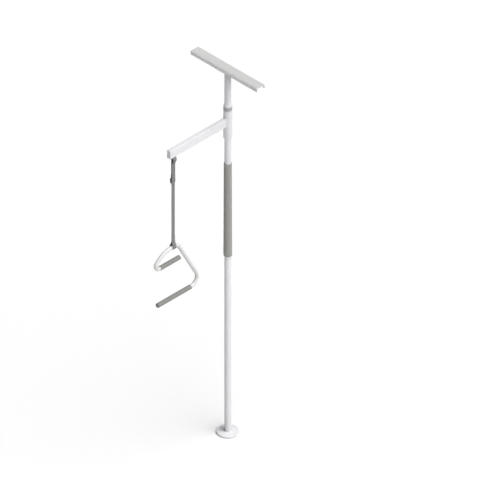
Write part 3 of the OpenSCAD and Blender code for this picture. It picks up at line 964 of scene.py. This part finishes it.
def add_lower_webbing():
    """Single ply down to the sewn, slack loop that the handle tube lies in."""
    low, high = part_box("strap_drop")
    loop = low.z / MM + 16.6
    around = 15.6
    top = high.z / MM
    route = [(0, top), (0, loop + 260), (0, loop + 62), (-0.1, loop + 46)]
    route += [(-1.2, loop + 37), (-4.0, loop + 27), (-8.0, loop + 18)]
    route += [
        (around * math.cos(math.radians(a)), loop + around * math.sin(math.radians(a)))
        for a in range(145, 396, 25)
    ]
    route += [(8.2, loop + 18), (4.9, loop + 27), (2.8, loop + 37)]
    route += [(1.95, loop + 45), (1.92, loop + 54), (1.92, loop + 68)]
    add_piece("lower_webbing", webbing(route), "drop", "webbing", ("strap_drop",), sharp=50)
    bm = bmesh.new()
    stitched_box(bm, 2.85 * MM, (loop + 48) * MM, (loop + 65) * MM, X_AXIS)
    stitched_box(bm, -0.95 * MM, (loop + 48) * MM, (loop + 65) * MM, -X_AXIS)
    add_piece("loop_stitches", bm, "drop", "webbing", material=THREAD)


def add_buckle():
    """Cage and lever, with finger ribs on the lever and teeth on the cam."""
    refined("buckle_frame", "buckle_cage", 0.35 * MM)
    refined("buckle_cam", "buckle_lever", 0.35 * MM)
    low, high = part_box("buckle_cam")
    pin_x = middle("cam_pin", 0)
    pin_z = middle("cam_pin", 2)
    bm = bmesh.new()
    half = (high.y - low.y) / 2 - 1.5 * MM
    ends = (Vector((0, STRAP_Y - half, 0)), Vector((0, STRAP_Y + half, 0)))
    rib_r = 0.45 * MM
    rib_pitch = 1.3 * MM
    first_rib = pin_z - 4 * MM
    for k in range(5):
        spot = Vector((low.x + 0.15 * MM, 0, first_rib - rib_pitch * k))
        sweep([p + spot for p in ends], circle(rib_r, 8), lambda p: X_AXIS, bm=bm)
    add_piece("lever_ribs", bm, "cam", "buckle_black")
    bm = bmesh.new()
    tooth_r = 0.32 * MM
    reach = 4.5 * MM
    bare_half = 4.5 * MM
    for k in range(-3, 4):
        a = math.radians(14 * k)
        spot = Vector((pin_x + 0.8 * MM + reach * math.cos(a), 0, pin_z + reach * math.sin(a)))
        for side in (-1, 1):
            span = (STRAP_Y + side * bare_half, STRAP_Y + side * half)
            route = [Vector((spot.x, y, spot.z)) for y in sorted(span)]
            sweep(route, circle(tooth_r, 6), lambda p: X_AXIS, bm=bm)
    add_piece("cam_teeth", bm, "cam", "buckle_black")


add_upper_webbing()
add_lower_webbing()
add_buckle()


# ---------------------------------------------------------------- handle

HANDLE_TUBE_R = 11.1 * MM


def add_handle():
    """One bent tube, open at both ends under its plugs."""
    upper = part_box("upper_grip")
    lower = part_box("lower_grip")
    tube_low, tube_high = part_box("handle_tube")
    radius = HANDLE_TUBE_R
    wall = 1.6 * MM
    swell = 0.1 * MM
    upper_z = middle("upper_grip", 2)
    lower_z = middle("lower_grip", 2)
    hang = tube_high.z - radius
    far = tube_low.y + radius + swell
    near = -204 * MM
    rise = 39 * MM
    bar_far = -487 * MM
    bar_near = -388 * MM
    corners = [
        (0, upper[1].y, upper_z), (0, far, upper_z), (0, far, upper_z + rise), (0, bar_far, hang),
        (0, bar_near, hang), (0, near, lower_z), (0, lower[0].y, lower_z)
    ]
    route = bent_path(corners, [25 * MM, 20 * MM, 130 * MM, 35 * MM, 50 * MM])
    bm = bmesh.new()
    count = 48
    rings = {"outer": [], "inner": []}
    for i, point in enumerate(route):
        before = route[max(i - 1, 0)]
        after = route[min(i + 1, len(route) - 1)]
        ahead = (after - before).normalized()
        v = ahead.cross(X_AXIS)
        for kind, r in (("outer", radius), ("inner", radius - wall)):
            rings[kind].append([
                bm.verts.new(point + (X_AXIS * math.cos(a) + v * math.sin(a)) * r)
                for a in (2 * math.pi * k / count for k in range(count))
            ])
    for kind in rings:
        for ring, following in zip(rings[kind], rings[kind][1:]):
            bridge(bm, ring, following)
    for end in (0, -1):
        bridge(bm, rings["outer"][end], rings["inner"][end])
    add_piece("trapeze_tube", bm, "handle", "powder_white", ("handle_tube",), material=TUBE_COAT)


def add_handle_grip(name, node, turn, seed):
    """Foam grip with rolled ends and a faint unevenness."""
    low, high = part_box(node)
    radius = (high.x - low.x) / 2
    inner = HANDLE_TUBE_R
    length = high.y - low.y
    z = middle(node, 2)
    rows = max(20, round(length / (5 * MM)))
    profile = sleeve_profile(inner, radius, radius, length, edge=1.2 * MM, rows=rows)
    start = high.y if turn > 0 else low.y
    bm = lathe(profile, 72, along_y(start, z, turn))
    bm.normal_update()
    unevenness = 0.10 * MM
    lump = 15 * MM
    shift = Vector((seed, 0, 0))
    for vert in bm.verts:
        if math.hypot(vert.co.x, vert.co.z - z) > inner + 0.8 * MM:
            vert.co += vert.normal * unevenness * noise.noise(vert.co / lump + shift)
    piece = add_piece(name, bm, "handle", "handle_foam", (node,), sharp=60)


def add_plug(name, node, turn):
    """Plug in a tube end: thin head and ribbed stem."""
    low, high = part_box(node)
    z = middle(node, 2)
    head_r = (high.x - low.x) / 2
    head = 1.2 * MM
    stem = high.y - low.y - head
    bore = 9.5 * MM
    root = bore - 0.7 * MM
    corners = [(0, head), (head_r, head), (head_r, 0), (bore, 0)]
    radii = [0, 0.5 * MM, 0.2 * MM, 0]
    h = -2 * MM
    while h > -stem + 3 * MM:
        corners += [(bore, h), (root, h - 0.6 * MM), (root, h - 1.6 * MM), (bore, h - 2.2 * MM)]
        radii += [0, 0, 0, 0]
        h -= 3.2 * MM
    corners += [(bore, -stem + MM), (bore - MM, -stem), (0, -stem)]
    radii += [0, 0.4 * MM, 0]
    start = low.y + head if turn > 0 else high.y - head
    bm = lathe(rounded(corners, radii, 4), 72, along_y(start, z, turn))
    add_piece(name, bm, "handle", "plug_grey", (node,))


add_handle()
add_handle_grip("upper_foam", "upper_grip", 90, 3)
add_handle_grip("lower_foam", "lower_grip", -90, 7)
add_plug("upper_stop", "upper_plug", -90)
add_plug("lower_stop", "lower_plug", 90)
